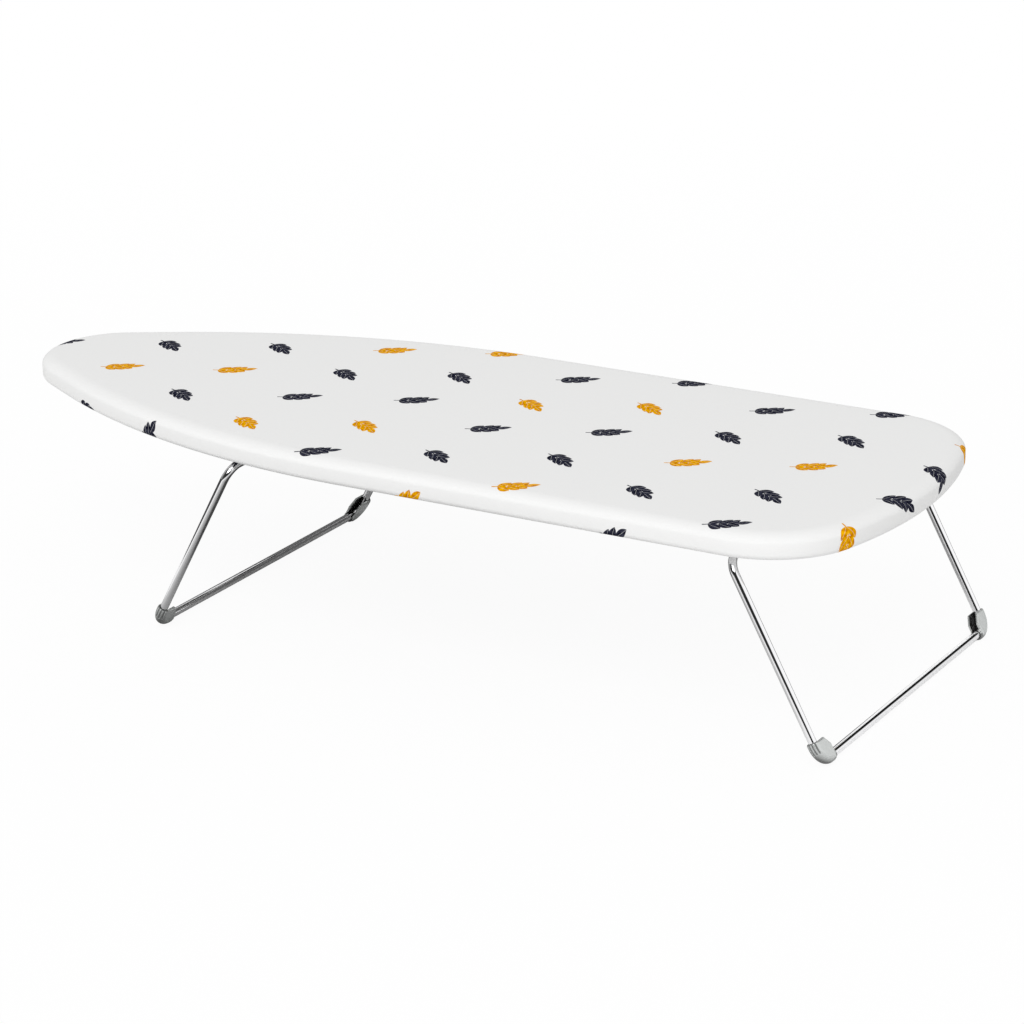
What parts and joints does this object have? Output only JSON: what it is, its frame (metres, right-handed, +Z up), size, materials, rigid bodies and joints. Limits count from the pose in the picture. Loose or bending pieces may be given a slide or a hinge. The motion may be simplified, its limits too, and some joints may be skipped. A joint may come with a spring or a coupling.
{
  "type": "travel ironing board",
  "caption": "Tabletop ironing board with a tapered nose, a padded, cotton-covered steel top and U-shaped rod legs that fold flat underneath.",
  "frame": {"origin": "on the floor, under the middle of the board", "axes": "+X along the board from nose to tail, +Y across it, +Z up"},
  "size_m": [0.73, 0.292, 0.156],
  "materials": {
    "cotton": "smooth printed cotton, white ground",
    "foam": "soft open-cell foam",
    "steel": "galvanised, dull",
    "chrome": "bright plated rod",
    "plastic": "moulded, light grey",
    "elastic": "woven elastic band"
  },
  "bodies": {
    "board": {"cover": "cotton", "foam_pad": "foam", "deck_panel": "steel", "rim_tube": "steel", "hem_elastic": "elastic", "nose_cross_rail": "steel", "tail_cross_rail": "steel", "nose_left_bracket": "steel", "nose_right_bracket": "steel", "tail_left_bracket": "steel", "tail_right_bracket": "steel", "nose_left_front_rivet": "steel", "nose_left_rear_rivet": "steel", "nose_right_front_rivet": "steel", "nose_right_rear_rivet": "steel", "tail_left_front_rivet": "steel", "tail_left_rear_rivet": "steel", "tail_right_front_rivet": "steel", "tail_right_rear_rivet": "steel"},
    "nose_leg": {"nose_leg_rod": "chrome", "nose_left_foot": "plastic", "nose_right_foot": "plastic"},
    "tail_leg": {"tail_leg_rod": "chrome", "tail_left_foot": "plastic", "tail_right_foot": "plastic"}
  },
  "joints": [
    {"name": "nose_leg_fold", "type": "hinge", "parent": "board", "child": "nose_leg", "pos_m": [-0.111, 0, 0.1343], "axis": [0, -1, 0], "range_deg": [0, 117]},
    {"name": "tail_leg_fold", "type": "hinge", "parent": "board", "child": "tail_leg", "pos_m": [0.284, 0, 0.1343], "axis": [0, 1, 0], "range_deg": [0, 117]}
  ]
}
